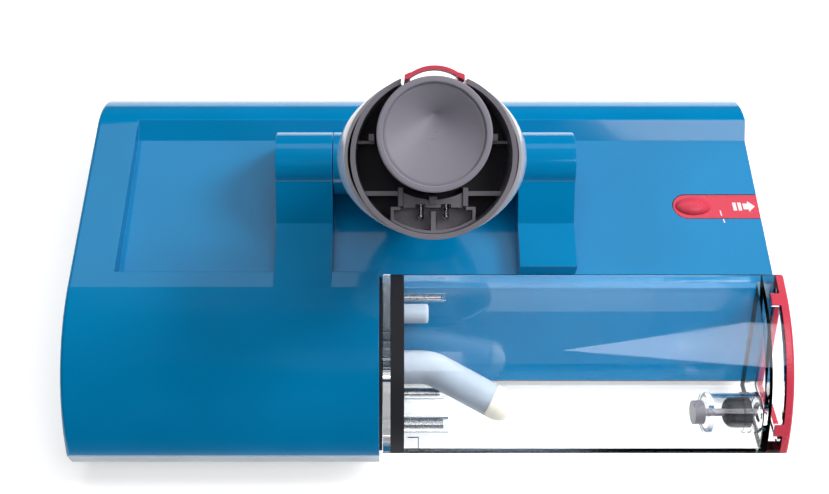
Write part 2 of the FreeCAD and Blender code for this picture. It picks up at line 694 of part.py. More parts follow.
def tank_section():
    """Outer section of the tank: the barrel's arc over a slanting back and a shallow floor."""
    crown = (size("barrel_y"), size("barrel_top"))
    middle, end = barrel_arc(size("barrel_radius"), size("near_y") + 0.6)
    return outline((size("tank_top_y"), size("barrel_top")), crown, (middle, end), (size("near_y") + 3, 18.5),
                   (-62, 14.2), (size("tank_heel_y"), size("tank_heel_z")))


def tank_foot(edge):
    """The section's two lower corners, which run the length of the tank."""
    places = ((size("tank_heel_y"), size("tank_heel_z")), (size("near_y") + 3, 18.5))
    return any(edge_along_x(edge, y, z) for y, z in places)


def tank_ridge(edge):
    return edge_along_x(edge, size("tank_top_y"), size("barrel_top"))


def tank_slice(name, start, length):
    """A length of the tank's section, rounded at its corners."""
    piece = Moulding(name)
    piece.pad(piece.draw(piece.sketch("YZ_Plane", start), tank_section()), length)
    piece.soften("Fillet", 2.5, tank_foot)
    piece.soften("Fillet", 1.0, tank_ridge)
    return piece


def make_tank():
    wall = size("tank_wall")
    shell = tank_slice("TankShell", "plate_right", "tank_right - plate_right")
    room = shell.draw(shell.sketch("YZ_Plane", "plate_right - 1"), inset(tank_section(), wall))
    shell.pocket(room, "tank_right - plate_right + 1 - tank_wall")
    shell.pocket(shell.circle(shell.sketch("YZ_Plane", "tank_right - tank_wall - 1"), "valve_y",
                              "valve_z", "4"),
                 "tank_wall + 2")
    node(shell.body, "tank_shell")
    flange = tank_slice("TankFlange", "tank_left + 0.3", "plate_left - tank_left - 0.3")
    bore = flange.circle(flange.sketch("YZ_Plane", "tank_left - 1"), "port_y", "port_z", "tube_radius - 2")
    flange.pocket(bore, "plate_left - tank_left + 2")
    node(flange.body, "tank_flange")
    plate = tank_slice("TankPlate", "plate_left", "plate_right - plate_left")
    plate.pocket(plate.draw(plate.sketch("YZ_Plane", "plate_left + 2"), inset(tank_section(), wall)),
                 "plate_right - plate_left")
    port = plate.circle(plate.sketch("YZ_Plane", "plate_left - 1"), "port_y", "port_z", "tube_radius - 2")
    plate.pocket(port, "10")
    node(plate.body, "tank_end_plate")
    make_tank_ends()
    make_tank_fittings()
    make_valve()


def tank_skin(name, start, length, spans):
    """Pieces of a thin skin on the outside of the tank's section, between given heights."""
    skin = Moulding(name)
    skin.pad(skin.draw(skin.sketch("YZ_Plane", start), tank_section(), inset(tank_section(), 1.2)), length)
    boxes = [block("%sSpan%d" % (name, i), (100, 160), y, z) for i, (y, z) in enumerate(spans)]
    return common(name + "Pieces", skin.body, fuse(name + "Spans", *boxes))


def make_tank_ends():
    """Clear lip at the right end, and the red end ring whose two clips snap into it."""
    clips = (((-31.0, -26.0), (48.0, 58.0)), ((-77.3, -74.0), (25.0, 38.0)))
    rooms = [((y[0] - 0.3, y[1] + 0.3), z) for y, z in clips]
    lip = tank_slice("TankLip", "tank_right", "cap_left - tank_right")
    lip.pocket(lip.draw(lip.sketch("YZ_Plane", "tank_right - 1"), inset(tank_section(), 5.0)), "10")
    node(cut("TankLipSlotted", lip.body, tank_skin("ClipRoom", "cap_left - 3.8", "5", rooms)),
         "tank_end_ring")
    cap = tank_slice("TankCap", "cap_left", "ring_right - cap_left")
    cap.pocket(cap.draw(cap.sketch("YZ_Plane", "cap_left - 1"), inset(tank_section(), 3.0)),
               "ring_right - cap_left + 2")
    cap.soften("Fillet", 1.2, lambda edge: near(edge.BoundBox.XMin, size("ring_right")))
    node(fuse("TankCapClipped", cap.body, tank_skin("Clip", "cap_left - 3.5", "4.5", clips)), "tank_end_cap")


def make_tank_fittings():
    """Pick-up tube and its weighted tip, vent, screw posts and their screws."""
    y, z = size("port_y"), size("port_z")
    start, elbow = (size("plate_left") + 2.05, y, z), (2.0, y, z)
    tip = (34.0, -64.5, 24.8)
    along = (V(*tip) - V(*elbow)).normalize()
    neck = V(*tip) - along * 8.0
    radius = size("pickup_radius")
    outer = hose("Pickup", radius, start, elbow, tuple(neck))
    inner = hose("PickupBore", radius - 2.2, start, elbow, tuple(neck))
    node(solid("PickupTube", outer.cut(inner)), "pickup_tube")
    weight = Part.makeCylinder(radius, 3.0, neck, along).fuse(Part.makeSphere(radius, neck + along * 3.0))
    weight = weight.cut([Part.makeCylinder(radius, 9.0, neck, along * -1),
                         Part.makeCylinder(1.5, 14.0, neck - along, along)])
    node(solid("PickupTip", weight), "pickup_tip")
    stub = ring_x("VentStubBlank", 4, 2.2, ("plate_left + 2", 1), -31, 45)
    node(rounded("VentStub", stub, 1.2, lambda edge: near(edge.BoundBox.XMin, 1)
                 and edge.BoundBox.XLength < 0.1 and edge.BoundBox.YLength > 6), "vent_stub")
    posts, screws = [], []
    for i, (post_y, post_z, radius, reach) in enumerate(((-25.4, 48.4, 1.8, 8), (-55, 18.6, 2.6, 8),
                                                          (-70, 23.5, 3.6, 9))):
        span = ("plate_left + 2", reach)
        posts.append(ring_x("Post%d" % i, radius, radius * 0.6, span, post_y, post_z))
        screws.append(rod_x("PostScrew%d" % i, radius * 0.6 - 0.05, ("plate_left + 2", reach - 2), post_y,
                            post_z))
    node(group("ScrewPosts", *posts), "screw_posts")
    node(group("PostScrews", *screws), "post_screws")


def make_valve():
    """Fill valve in the right end wall: a clear barrel, and a spring-loaded stem with a rubber cup."""
    y, z, inner = "valve_y", "valve_z", "tank_right - tank_wall"
    barrel = ring_x("ValveTube", "valve_radius", "valve_radius - 1.4", (115, inner), y, z)
    guide = ring_x("ValveGuide", "valve_radius + 0.4", 1.9, (113, 115.5), y, z)
    seats = [ring_x("ValveSeat%d" % i, "valve_radius + 0.4", "valve_radius - 0.5", span, y, z)
             for i, span in enumerate(((127.5, 129.0), (131.0, inner)))]
    node(fuse("ValveBarrel", barrel, guide, *seats), "valve_barrel")
    rod = rod_x("StemRod", 1.5, (110, 134.2), y, z)
    knob = rod_x("StemKnob", 4.8, (108.7, 112.7), y, z)
    node(fuse("ValveStem", rod, knob), "valve_stem")
    cup = ring_x("CupBlank", "valve_radius - 1.7", 1.5, (121.5, 131), y, z)
    node(rounded("ValveCup", cup, 3.0, lambda edge: near(edge.BoundBox.XMin, 121.5)
                 and edge.BoundBox.XLength < 0.1 and edge.BoundBox.YLength > 8), "valve_cup")


# ---- neck, in its own upright frame about the hinge, then tilted back ----

def tilt(thing):
    """Moves an upright piece of the neck to the hinge and leans it back."""
    lean = FreeCAD.Placement(V(0, size("pivot_y"), size("pivot_z")),
                             FreeCAD.Rotation(V(1, 0, 0), size("neck_tilt")))
    thing.Placement = lean.multiply(thing.Placement)
    return thing


def make_yoke():
    drum = rod_x("DrumBar", "tower_radius", ("-tower_in + run_gap", "tower_in - run_gap"), 0, 0)
    cup = rod_z("DrumCup", "cup_radius", 0, 0, (3, 19))
    room = rod_z("DrumRoom", "journal_radius + run_gap", 0, 0, (6, 25))
    bores = [rod_x("BushBore%d" % i, "bush_radius", x, 0, 0) for i,
             x in enumerate(((29.5, 60), (-60, -29.5)))]
    node(tilt(cut("PivotDrum", fuse("DrumBlank", drum, cup), room, *bores)), "pivot_drum")
    bushes = [ring_x("Bush%d" % i, "bush_radius", "pin_radius + 0.06", x, 0, 0)
              for i, x in enumerate(((29.5, "tower_in - run_gap"), ("-tower_in + run_gap", -29.5)))]
    node(tilt(group("YokeBushes", *bushes)), "yoke_bushes")


def oval(across, along, height):
    """A level ellipse about the neck's axis, as a wire."""
    return Part.Wire(Part.Ellipse(V(across, 0, height), V(0, along, height), V(0, 0, height)).toShape())


SHELL_OVALS = ((20.4, 17.5, 17.4), (34.0, 26.0, 21.5), (48.0, 30.6, 24.6), (60.0, 32.7, 26.2),
               (70.0, 33.2, 26.8),
               (80.0, 32.4, 27.2), (88.0, 29.9, 27.6))


def shell_loft(wall, base, rise):
    """The bulge of the shell, moved in by its wall, with its first oval raised and its last one too."""
    last = len(SHELL_OVALS) - 1
    lift = {0: base, last: rise}
    return Part.makeLoft([oval(across - wall, along - wall, up + lift.get(i, 0))
                          for i, (up, across, along) in enumerate(SHELL_OVALS)], True)


def make_neck_shell():
    """Bulging silver shell, wider than deep, on a round swivel journal, with a flat bed for the button."""
    wall, journal = size("shell_wall"), size("journal_radius")
    outer = shell_loft(0, 0, 0)
    inner = shell_loft(wall, 1.8, 0.6)
    bed, half = size("button_bed"), size("button_half") + 1.0
    flat = Part.makeBox(2 * half + 2, wall, 28, V(-half - 1, bed - wall, 44)).common(outer)
    notch = Part.makeBox(2 * half, 20, 60, V(-half, bed, 40))
    collar_room = Part.makeCylinder(size("collar_radius") + 0.05, 30, V(0, 0, size("neck_floor")))
    tube = Part.makeCylinder(journal, 16.0, V(0, 0, 6.4))
    bore = Part.makeCylinder(journal - 2.0, 20, V(0, 0, 6.0))
    seat = Part.makeBox(5, 2.4, 2, V(-2.5, bed - 0.2, 55.6))
    shell = outer.cut(inner).cut(collar_room).fuse(flat).cut(notch).fuse(tube).fuse(seat).cut(bore)
    return node(tilt(solid("NeckShell", shell)), "neck_shell")


NECK_RIBS = (
    (((-25, -10.8), (-13.2, -11.6), 7), ((-11.8, -10.1), (-16.7, -10.4), 6.5)),
    (((10.8, 25), (-13.2, -11.6), 7), ((10.1, 11.8), (-16.7, -10.4), 6.5)),
    (((-25.9, -18.8), (4.4, 5.4), 9), ((-21.7, -19.0), (5.3, 7.6), 6)),
    (((18.8, 25.9), (4.4, 5.4), 9), ((19.0, 21.7), (5.3, 7.6), 6)))


def make_neck_inside():
    """Floor plate, the ribs on it, horseshoe collar, spigot and its blank."""
    inside = "collar_radius - collar_wall"
    spigot = (0, "spigot_y")
    floor = rod_z("NeckFloorDisc", "collar_radius - 0.02", 0, 0, ("neck_floor", "neck_floor + 2"))
    hollow = rod_z("NeckFloorHole", "spigot_radius - spigot_wall", *spigot,
                   ("neck_floor - 1", "collar_top + 9"))
    node(tilt(cut("NeckFloor", floor, hollow, button_room("FloorRoom"))), "neck_floor")
    ribs = []
    for i, group_of_boxes in enumerate(NECK_RIBS):
        boxes = [block("NeckRib%d_%d" % (i, j), x, y, ("neck_floor + 2", "collar_top - %s" % drop))
                 for j, (x, y, drop) in enumerate(group_of_boxes)]
        trim = rod_z("NeckRibTrim%d" % i, inside + " - 0.02", 0, 0, ("neck_floor", "collar_top"))
        clear = rod_z("NeckRibRoom%d" % i, "spigot_radius + sleeve_room", *spigot,
                      ("neck_floor", "collar_top + 9"))
        ribs.append(cut("NeckRib%d" % i, common("NeckWeb%d" % i, fuse("NeckBoxes%d" % i, *boxes), trim),
                        clear))
    node(tilt(group("NeckRibs", *ribs)), "neck_ribs")
    collar = ring_z("CollarRing", "collar_radius", inside, 0, 0, ("neck_floor + 2", "collar_top"))
    mouth = block("CollarMouth", (-10.9, 10.9), (14, 40), ("neck_floor + 1", "collar_top + 1"))
    clear = rod_z("CollarSpigotRoom", "spigot_radius + sleeve_room", *spigot,
                  ("neck_floor + 1", "collar_top + 1"))
    node(tilt(cut("NeckCollar", collar, mouth, clear)), "neck_collar")
    tube = ring_z("SpigotTube", "spigot_radius", "spigot_radius - spigot_wall", *spigot,
                  ("neck_floor + 2", "spigot_top"))
    rim = size("spigot_top")
    node(tilt(rounded("SpigotRim", tube, 0.6, lambda edge: near(edge.BoundBox.ZMin, rim)
                      and edge.BoundBox.ZLength < 0.1)), "wand_spigot")
    make_spigot_cap()
    make_contacts()


def button_room(name):
    """Space behind the spigot for the arms of the release button."""
    room = block(name + "Block", ("-button_half - 0.6", "button_half + 0.6"), (14, 40), (60, 80))
    return cut(name, room, rod_z(name + "Core", "spigot_radius + 0.6", 0, "spigot_y", (59, 81)))


def make_spigot_cap():
    """Blank across the spigot: a disc sunk to an off-centre point."""
    top, thick, depth = size("spigot_top") - 1.2, 8.0, 6.2
    radius, y = size("spigot_radius") - size("spigot_wall") - 0.02, size("spigot_y")
    disc = Part.makeCylinder(radius, thick, V(0, y, top - thick))
    mouth = Part.Wire(Part.makeCircle(radius - 0.9, V(0, y, top + 0.01)))
    dish = Part.makeLoft([mouth, Part.Vertex(V(0.4, y + 7.2, top - depth))], True, True)
    node(tilt(solid("SpigotCap", disc.cut(dish))), "spigot_cap")


def make_contacts():
    """Contact panel and tray at the foot of the collar, with two sprung pins lying in the tray."""
    low, rim, axis = "neck_floor + 2", "collar_top - 6", size("collar_top") - 8.6
    inner = size("collar_radius") - size("collar_wall") - 0.1
    panel = cut("ContactPanel", block("PanelBlock", (-10, 10), (-17.2, -12), (low, "collar_top - 7")),
                rod_z("PanelCurve", "spigot_radius + 2.4", 0, "spigot_y", ("neck_floor", "collar_top")))
    notch = block("PanelNotch", (-1.4, 1.4), (-16, -13.4), (low, "collar_top - 6.4"))
    tray = common("ContactTray", block("TrayBody", (-14.3, 14.3), (-26, -16.9), (low, rim)),
                  rod_z("TrayRound", inner, 0, 0, ("neck_floor", "collar_top")))
    hollow = common("TrayHollow", block("TrayRoom", (-13.2, 13.2), (-26, -18.0),
                                        ("collar_top - 12", "collar_top")),
                    rod_z("TrayRoomRound", inner - 1.0, 0, 0, ("neck_floor", "collar_top + 1")))
    mouth = block("TrayMouth", (-11, 11), (-19, -16.8), ("collar_top - 12", "collar_top"))
    rib = block("TrayRib", (-0.8, 0.8), (-25.0, -18.4), ("collar_top - 13", rim))
    tray = fuse("TrayRibbed", cut("TrayOpen", tray, hollow, mouth), rib)
    wires = [rod_y("PinBore%d" % i, 1.13, x, (-24, -14.9), axis) for i, x in enumerate((-4.3, 4.3))]
    arch = [block("PinArch%d" % i, (x - 1.7, x + 1.7), (-17.3, -16.0), (axis - 1.5, "collar_top"))
            for i, x in enumerate((-4.3, 4.3))]
    body = fuse("ContactBlank", cut("PanelBored", panel, *wires, *arch), notch, tray)
    node(tilt(body), "contact_block")
    pins = []
    for i, x in enumerate((-4.3, 4.3)):
        stem = rod_y("PinStem%d" % i, 1.1, x, (-20.2, -15), axis)
        ball = bind(doc.addObject("Part::Sphere", "PinBall%d" % i), Radius="1.3")
        pins.append(fuse("Pin%d" % i, stem, place(ball, x, -20.2, axis)))
    node(tilt(group("ContactPins", *pins)), "contact_pins")
    lead = hose("NeckLead", 1.6, (0, -19.2, 71.2), (0, -18, 60), (0, -3, 36), (0, 0, 10))
    node(tilt(solid("NeckCable", lead)), "neck_cable")


def make_button():
    """Red release loop behind the spigot, on two arms that join above a spring on the shell's bed."""
    foot, top, half = "button_foot", "spigot_top - 0.5", "button_half"
    arc = ring_z("ButtonArc", 14.2, 12.9, 0, 15.0, ("spigot_top - 5", top))
    loop = common("ButtonLoop", arc, block("LoopSector", ("-" + half, half), (22.5, 32),
                                           ("spigot_top - 5", top)))
    wall = ring_z("ButtonWall", "spigot_radius + 2.6", "spigot_radius + 1.0", 0, "spigot_y", (foot, top))
    arms = [common("ButtonArm%d" % i, wall, block("ArmSector%d" % i, x, (14, 32), (foot, top)))
            for i, x in enumerate(((half + " - 2", half), ("-" + half, "-%s + 2" % half)))]
    bridge = block("ButtonBridge", ("-" + half, half), (24.2, 26.2), (foot, "button_foot + 3"))
    sleeve = rod_z("WandRoom", "spigot_radius + sleeve_room + 0.1", 0, "spigot_y",
                   ("neck_floor", "spigot_top + 1"))
    node(tilt(cut("WandButton", fuse("ButtonBlank", loop, *arms, bridge), sleeve)), "wand_button")
    node(tilt(coil_spring("ButtonSpring", 0.9, 0.3, 1.4, (0, size("button_bed") + 1.5, 57.9), 4.0)),
         "button_spring")


def coil_spring(name, radius, wire, pitch, foot, height):
    """A wire spring standing on its foot, along Z."""
    helix = Part.makeHelix(pitch, height, radius)
    ring = Part.Wire(Part.makeCircle(wire, V(radius, 0, 0), V(0, 1, 0)))
    spring = Part.Wire(helix).makePipeShell([ring], True, True)
    spring.translate(V(*foot))
    return solid(name, spring)


# ---- latch ----

def make_latch():
    """Red slider in the panel, with a thumb dome and a return spring below."""
    slider = Moulding("Latch")
    slider.pad(slider.draw(slider.sketch("XY_Plane", "panel_z - wall + 0.3"), latch_outline(0.0)),
               "wall - 0.4")
    trim = block("LatchTrim", ("cover_right", "cover_right + 9"), (0, 50), (40, 60))
    dome = bind(doc.addObject("Part::Ellipsoid", "LatchDome"), Radius2=7.6, Radius3=4.3, Radius1=2.6)
    place(dome, "latch_left + 8.6", "latch_y", "panel_z - 0.2")
    lower = block("LatchDomeTrim", (90, 130), (0, 50), (30, "panel_z - 1"))
    raised = cut("LatchThumb", dome, lower)
    node(cut("RollerLatch", fuse("LatchBlank", slider.body, raised), trim), "roller_latch")
    spring = coil_spring("LatchSpring", 1.6, 0.35, 1.5, (0, 0, 0), 12.0)
    spring.Placement = FreeCAD.Placement(V(112, size("latch_y"), size("panel_z") - size("wall") - 2.6),
                                         FreeCAD.Rotation(V(0, 1, 0), 90))
    node(spring, "latch_spring")


def check_and_write():
    """Stops on any failed object or bad shape, then writes one file for each piece."""
    doc.recompute()
    for thing in doc.Objects:
        if "Invalid" in thing.State or "Error" in thing.State:
            raise ValueError("failed: %s %s" % (thing.Name, thing.State))
    for piece in NODES:
        if piece.Shape.isNull() or not piece.Shape.isValid():
            raise ValueError("bad shape: %s" % piece.Label)
    os.makedirs("parts", exist_ok=True)
    for piece in NODES:
        piece.Shape.exportStep("parts/%s.step" % piece.Label)
    print(len(NODES), "pieces written")


make_top_cover()
make_base_plate()
make_bulkhead()
make_root_frame()
make_drive()
make_water_line()
make_electrics()
make_roller()
make_tray()
make_wheels()
make_tank()
make_yoke()
make_neck_shell()
make_neck_inside()
make_button()
make_latch()
check_and_write()
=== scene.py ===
"""Wet roller floor head: the looks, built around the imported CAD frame."""
import json
import math
import random

import bpy
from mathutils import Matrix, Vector


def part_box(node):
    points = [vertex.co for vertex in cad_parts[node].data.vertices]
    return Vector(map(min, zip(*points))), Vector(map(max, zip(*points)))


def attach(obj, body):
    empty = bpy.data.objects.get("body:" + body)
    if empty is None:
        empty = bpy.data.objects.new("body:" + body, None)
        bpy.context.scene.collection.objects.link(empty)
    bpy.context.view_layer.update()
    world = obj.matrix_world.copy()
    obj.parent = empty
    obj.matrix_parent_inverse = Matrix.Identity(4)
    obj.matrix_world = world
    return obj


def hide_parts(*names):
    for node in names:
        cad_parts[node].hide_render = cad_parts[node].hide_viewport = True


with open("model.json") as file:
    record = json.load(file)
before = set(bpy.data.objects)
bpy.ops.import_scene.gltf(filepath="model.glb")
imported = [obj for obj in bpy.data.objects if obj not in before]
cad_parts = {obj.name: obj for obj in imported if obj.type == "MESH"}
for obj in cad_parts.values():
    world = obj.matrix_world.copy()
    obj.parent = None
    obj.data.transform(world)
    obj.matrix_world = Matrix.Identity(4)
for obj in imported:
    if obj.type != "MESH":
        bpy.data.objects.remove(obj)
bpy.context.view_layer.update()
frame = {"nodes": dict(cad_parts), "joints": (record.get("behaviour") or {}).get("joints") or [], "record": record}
MM = 0.001
NODES = frame["nodes"]


# ---- places, read from the frame or in millimetres ----

def joint(name):
    """The frame's own entry for a joint."""
    return [item for item in frame["joints"] if item["name"] == name][0]


ROLLER_AXIS = Vector(joint("roller_spin")["pos_m"])
SLIDER_TOP, PANEL_TOP = 46.92, 47.01
BARREL_Y, BARREL_Z, BARREL_RADIUS = -23.0, -18.0, 72.03
PRINT_DEPTH = 0.04

# ---- sizes of the sleeve's pile, in metres ----

PILE_DEPTH = 2.6 * MM
SLEEVE_WALL = 5 * MM
TUFT_ROWS, TUFTS_AROUND = 158, 62
TUFT_WIDTH = 0.62 * MM
TUFT_LENGTHS = (2.0, 2.55)
STRIPES_PER_METRE, STRIPE_SHARE = 60, 0.22


# ---- shader building ----

class Surface:
    """A Principled material and the nodes that feed it."""

    def __init__(self, name, colour, roughness=0.4, **sockets):
        self.material = bpy.data.materials.new(name)
        self.material.use_nodes = True
        self.tree = self.material.node_tree
        self.shader = self.tree.nodes["Principled BSDF"]
        self.set("Base Color", (*colour, 1.0))
        self.set("Roughness", roughness)
        for socket, value in sockets.items():
            self.set(socket.replace("_", " "), value)
        self.normal = None
        self.place = self.node("ShaderNodeTexCoord").outputs["Object"]

    def set(self, socket, value):
        self.shader.inputs[socket].default_value = value

    def node(self, kind, **inputs):
        made = self.tree.nodes.new(kind)
        for name, value in inputs.items():
            self.feed(made.inputs[name.replace("_", " ")], value)
        return made

    def feed(self, socket, value):
        if isinstance(value, bpy.types.NodeSocket):
            self.tree.links.new(value, socket)
        else:
            socket.default_value = value

    def noise(self, scale, detail=3.0, roughness=0.55, stretch=None):
        spot = self.place
        if stretch is not None:
            spot = self.node("ShaderNodeMapping", Vector=spot, Scale=stretch).outputs["Vector"]
        return self.node("ShaderNodeTexNoise", Vector=spot, Scale=scale, Detail=detail,
                         Roughness=roughness).outputs["Fac"]

    def cells(self, scale):
        return self.node("ShaderNodeTexVoronoi", Vector=self.place, Scale=scale).outputs["Distance"]

    def range(self, value, low, high, to_low=0.0, to_high=1.0):
        made = self.node("ShaderNodeMapRange", Value=value)
        for name, number in (("From Min", low), ("From Max", high), ("To Min", to_low), ("To Max", to_high)):
            made.inputs[name].default_value = number
        return made.outputs["Result"]

    def math(self, operation, a, b):
        made = self.tree.nodes.new("ShaderNodeMath")
        made.operation = operation
        self.feed(made.inputs[0], a)
        self.feed(made.inputs[1], b)
        return made.outputs["Value"]

    def mix(self, factor, first, second):
        """A colour between two colours or colour outputs."""
        made = self.tree.nodes.new("ShaderNodeMix")
        made.data_type = "RGBA"
        self.feed(made.inputs["Factor"], factor)
        for socket, value in ((made.inputs[6], first), (made.inputs[7], second)):
            self.feed(socket, (*value, 1.0) if isinstance(value, tuple) else value)
        return made.outputs[2]

    def bump(self, height, strength, distance):
        made = self.node("ShaderNodeBump", Height=height, Strength=strength, Distance=distance)
        if self.normal is not None:
            self.feed(made.inputs["Normal"], self.normal)
        self.normal = made.outputs["Normal"]
        self.feed(self.shader.inputs["Normal"], self.normal)

    def soft_edges(self, radius):
        """Rounds the light on sharp edges, and returns a mask of where they are."""
        bevel = self.node("ShaderNodeBevel", Radius=radius)
        bevel.samples = 6
        flat = self.node("ShaderNodeNewGeometry").outputs["Normal"]
        dot = self.tree.nodes.new("ShaderNodeVectorMath")
        dot.operation = "DOT_PRODUCT"
        self.feed(dot.inputs[0], bevel.outputs["Normal"])
        self.feed(dot.inputs[1], flat)
        self.normal = bevel.outputs["Normal"]
        self.feed(self.shader.inputs["Normal"], self.normal)
        return self.range(dot.outputs["Value"], 0.99, 0.86)

    def paint(self, colour):
        self.feed(self.shader.inputs["Base Color"], colour)

    def gloss(self, roughness):
        self.feed(self.shader.inputs["Roughness"], roughness)


def shade(colour, factor):
    return tuple(min(1.0, channel * factor) for channel in colour)


def moulded(name, colour, roughness, edge=0.0004, peel=0.12, flow=0.06, dust=0.35, **sockets):
    """Injection-moulded plastic: faint flow marks, orange peel, dust specks and a painted highlight that lightens
    the edges.
    """
    s = Surface(name, colour, roughness, **sockets)
    edge_highlight_mask = s.soft_edges(edge)
    drift = s.noise(14.0, detail=2.0)
    base = s.mix(s.range(drift, 0.35, 0.65), shade(colour, 1 - flow), shade(colour, 1 + flow))
    specks = s.range(s.noise(2600.0, detail=2.0), 0.71, 0.78)
    base = s.mix(s.math("MULTIPLY", specks, dust), base, tuple(0.5 * c + 0.4 for c in colour))
    # Painted highlight: the colour is lifted lighter along sharp edges, in patches set by noise.
    lift = tuple(min(1.0, 0.72 * c + 0.13) for c in colour)
    base = s.mix(s.math("MULTIPLY", edge_highlight_mask, s.range(s.noise(220.0), 0.45, 0.7, 0.15, 0.7)), base, lift)
    s.paint(base)
    handled = s.noise(55.0, detail=5.0, roughness=0.7)
    s.gloss(s.range(handled, 0.3, 0.75, roughness * 0.8, roughness * 1.35))
    s.bump(s.noise(950.0, detail=1.5), peel, 0.00006)
    return s.material


def textured(name, colour, roughness, grain=1500.0, depth=0.35, **sockets):
    """Spark-eroded plastic with a fine even grain."""
    s = Surface(name, colour, roughness, **sockets)
    edge_highlight_mask = s.soft_edges(0.0003)
    drift = s.range(s.noise(30.0), 0.35, 0.65)
    base = s.mix(drift, shade(colour, 0.88), shade(colour, 1.14))
    # Painted highlight: the colour is lifted lighter along sharp edges.
    base = s.mix(s.math("MULTIPLY", edge_highlight_mask, 0.55), base, tuple(min(1.0, 0.8 * c + 0.09) for c in colour))
    s.paint(base)
    s.gloss(s.range(s.noise(80.0, detail=4.0), 0.3, 0.7, roughness * 0.85, min(1.0, roughness * 1.2)))
    s.bump(s.noise(grain, detail=2.0), depth, 0.00005)
    return s.material


def clear(name, tint, roughness, ior=1.46):
    """Clear moulded plastic with a polished skin, light smears and fine scratches."""
    s = Surface(name, tint, roughness, Transmission_Weight=1.0, IOR=ior)
    smear = s.noise(40.0, detail=4.0, stretch=(0.35, 1.0, 1.0))
    s.gloss(s.range(smear, 0.45, 0.8, roughness, roughness + 0.09))
    s.bump(s.noise(120.0, detail=1.0), 0.03, 0.0002)
    scratches = s.noise(700.0, detail=2.0, stretch=(0.03, 1.0, 1.0))
    s.bump(s.range(scratches, 0.68, 0.8), 0.05, 0.00002)
    return s.material


def metal(name, colour, roughness, brushed=None):
    """Bare metal, brushed along one direction, with faint stains."""
    s = Surface(name, colour, roughness, Metallic=1.0)
    s.soft_edges(0.00015)
    stretch = brushed or (1.0, 1.0, 1.0)
    lines = s.noise(1400.0, detail=3.0, stretch=stretch)
    stain = s.range(s.noise(90.0), 0.4, 0.7)
    s.paint(s.mix(s.math("MULTIPLY", stain, 0.5), colour, shade(colour, 0.75)))
    s.gloss(s.range(lines, 0.3, 0.7, roughness * 0.8, roughness * 1.5))
    s.bump(lines, 0.15, 0.00002)
    return s.material


def rubber(name, colour, roughness=0.62):
    """Matt black or dark rubber with a pale bloom."""
    s = Surface(name, colour, roughness, Specular_IOR_Level=0.35)
    bloom = s.range(s.noise(60.0, detail=5.0), 0.45, 0.75)
    s.paint(s.mix(s.math("MULTIPLY", bloom, 0.4), colour, tuple(min(1.0, c + 0.03) for c in colour)))
    s.gloss(s.range(s.noise(300.0), 0.3, 0.7, roughness * 0.9, min(1.0, roughness * 1.15)))
    s.bump(s.noise(1800.0, detail=2.0), 0.3, 0.00004)
    return s.material


def silicone(name, colour):
    """Milky silicone: soft light through it and a slightly tacky skin."""
    s = Surface(name, colour, 0.38, Subsurface_Weight=0.7, Subsurface_Scale=0.004, Transmission_Weight=0.25)
    s.set("Subsurface Radius", (1.0, 1.0, 1.1))
    cloudy = s.range(s.noise(110.0, detail=3.0), 0.35, 0.7)
    s.paint(s.mix(cloudy, shade(colour, 0.95), shade(colour, 1.04)))
    s.bump(s.noise(500.0), 0.08, 0.00005)
    return s.material


def circuit_board(name):
    """Green lacquer over a grid of paler tracks."""
    lacquer, copper = (0.012, 0.12, 0.05), (0.1, 0.32, 0.12)
    s = Surface(name, lacquer, 0.3)
    tracks = s.node("ShaderNodeTexBrick", Vector=s.place, Scale=190.0)
    s.paint(s.mix(s.range(tracks.outputs["Fac"], 0.2, 0.8), lacquer, copper))
    s.bump(tracks.outputs["Fac"], 0.3, 0.00005)
    return s.material


def bronze(name):
    """Sintered bronze with dark pores."""
    s = Surface(name, (0.36, 0.2, 0.08), 0.5, Metallic=1.0)
    pores = s.range(s.cells(2400.0), 0.0, 0.25)
    s.paint(s.mix(pores, (0.12, 0.06, 0.03), (0.4, 0.23, 0.09)))
    s.bump(pores, 0.3, 0.00004)
    return s.material


BLUE = (0.0, 0.2, 0.44)

MATERIALS = {
    "blue_shell": moulded("BluePlastic", BLUE, 0.1, edge=0.0006, Coat_Weight=0.35, Coat_Roughness=0.04),
    "clear_tank": clear("ClearPlastic", (0.965, 0.98, 0.99), 0.012),
    "red_trim": moulded("RedPlastic", (0.60, 0.05, 0.085), 0.24, edge=0.0003),
    "dark_plastic": textured("DarkPlastic", (0.022, 0.023, 0.028), 0.4),
    "grey_plastic": textured("GreyPlastic", (0.165, 0.155, 0.18), 0.3, depth=0.2),
    "silver_shell": moulded("SilverPlastic", (0.52, 0.52, 0.56), 0.18, edge=0.0004, Metallic=0.3),
    "blank_grey": moulded("BlankPlastic", (0.215, 0.205, 0.245), 0.3, edge=0.0003),
    "pale_strip": textured("PaleStrip", (0.42, 0.5, 0.56), 0.35, depth=0.15),
    "seal_black": rubber("SealRubber", (0.012, 0.013, 0.017)),
    "milky_silicone": silicone("MilkySilicone", (0.5, 0.58, 0.68)),
    "cream_tip": textured("CreamTip", (0.8, 0.76, 0.66), 0.45, depth=0.15),
    "steel": metal("Steel", (0.6, 0.6, 0.62), 0.24),
    "motor_steel": metal("MotorSteel", (0.45, 0.46, 0.48), 0.33, brushed=(1.0, 0.06, 0.06)),
    "pump_body": textured("PumpBody", (0.035, 0.035, 0.04), 0.45),
    "board_green": circuit_board("CircuitBoard"),
    "chip_black": textured("ChipBlack", (0.015, 0.015, 0.016), 0.5),
    "cable_black": rubber("CableSkin", (0.015, 0.015, 0.016), 0.5),
    "microfibre": rubber("SleeveBacking", (0.4, 0.45, 0.52), 0.9),
    "core_grey": textured("CoreGrey", (0.3, 0.31, 0.33), 0.45),
    "bearing_bronze": bronze("Bronze"),
    "belt_rubber": rubber("BeltRubber", (0.014, 0.014, 0.014), 0.7),
}


def dress_frame():
    """Gives every CAD node the material of its slot."""
    for part in frame["record"]["subparts"]:
        thing = NODES[part["node"]]
        thing.data.materials.clear()
        thing.data.materials.append(MATERIALS[part["material_slot"]])


